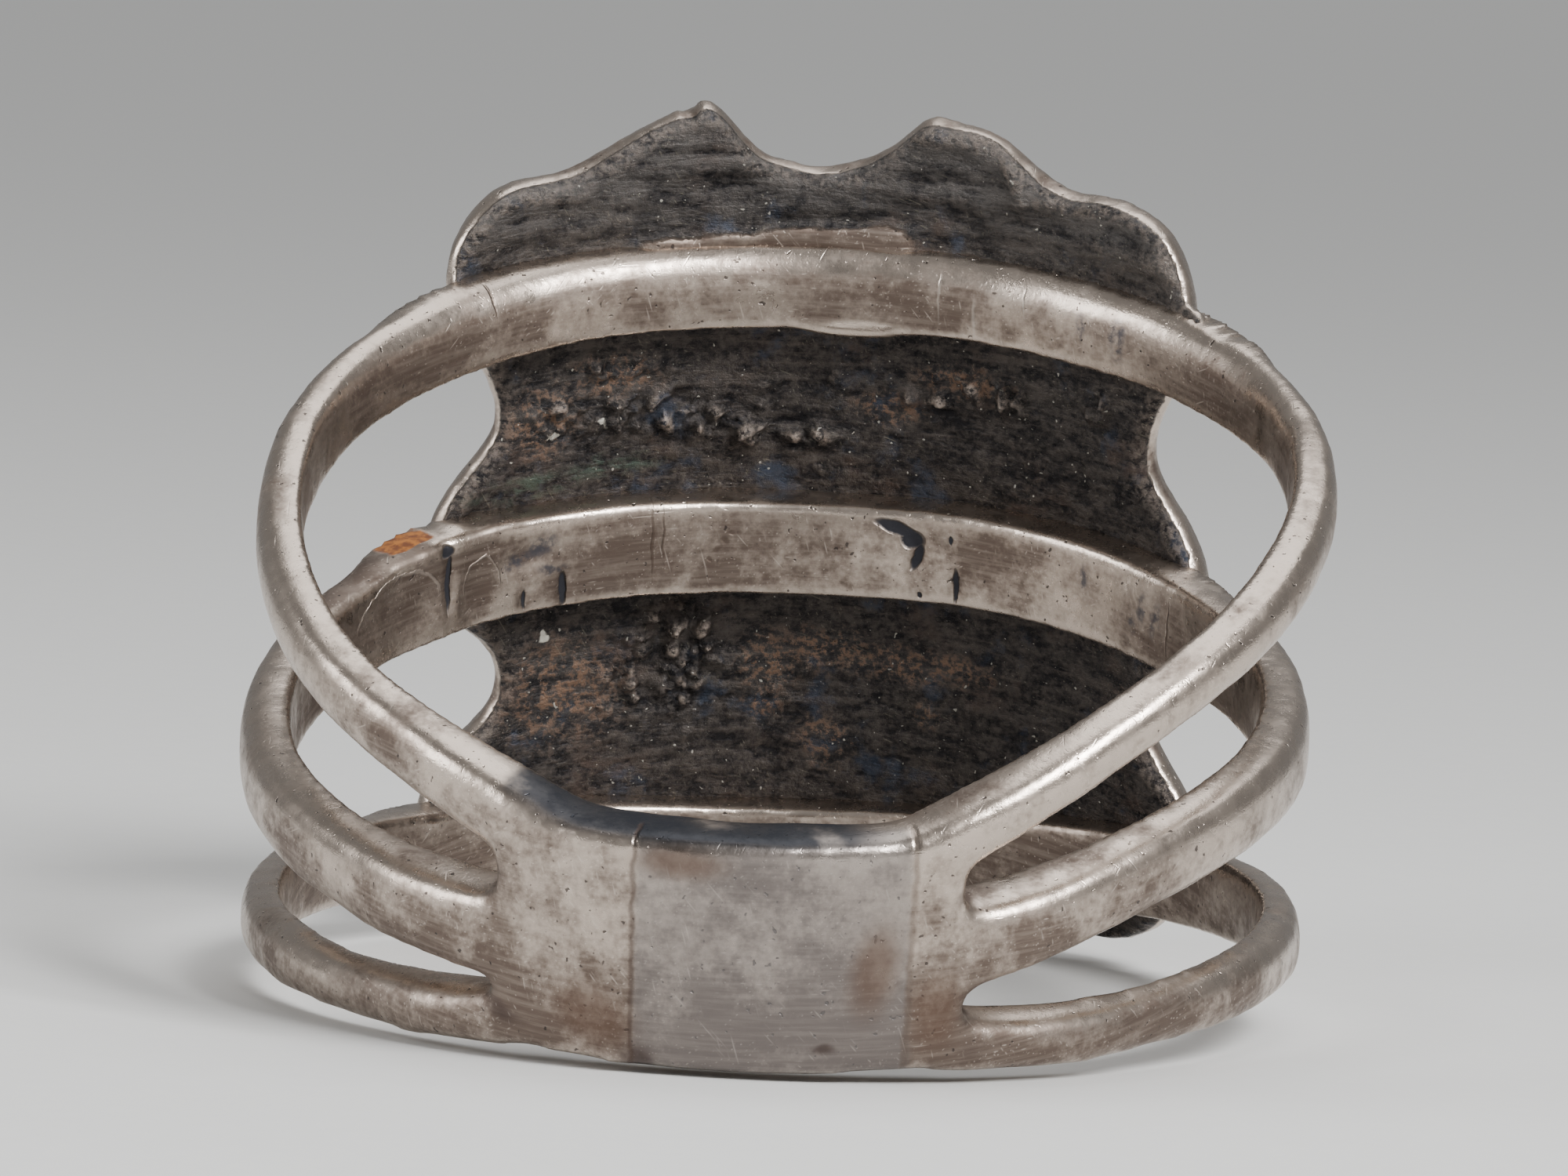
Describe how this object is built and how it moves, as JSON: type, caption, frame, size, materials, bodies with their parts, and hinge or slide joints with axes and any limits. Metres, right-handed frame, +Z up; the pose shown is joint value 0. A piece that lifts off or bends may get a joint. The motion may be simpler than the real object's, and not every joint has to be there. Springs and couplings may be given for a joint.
{
  "type": "turquoise ring",
  "caption": "Silver finger ring with a split band, a scalloped face plate and an oval turquoise cabochon in a bezel, lying on its side.",
  "frame": {"origin": "on the floor under the middle of the ring as it lies on its side", "axes": "+X across the finger hole, +Y towards the face plate, +Z up; the finger hole's axis leans from +Z towards -Y"},
  "size_m": [0.0213, 0.026, 0.0175],
  "materials": {
    "silver": "worn cast silver, oxidised dark in the hollows",
    "turquoise": "polished cabochon with a brown matrix"
  },
  "bodies": {
    "root": {"silver_ring": "silver", "turquoise_cabochon": "turquoise"}
  },
  "joints": []
}
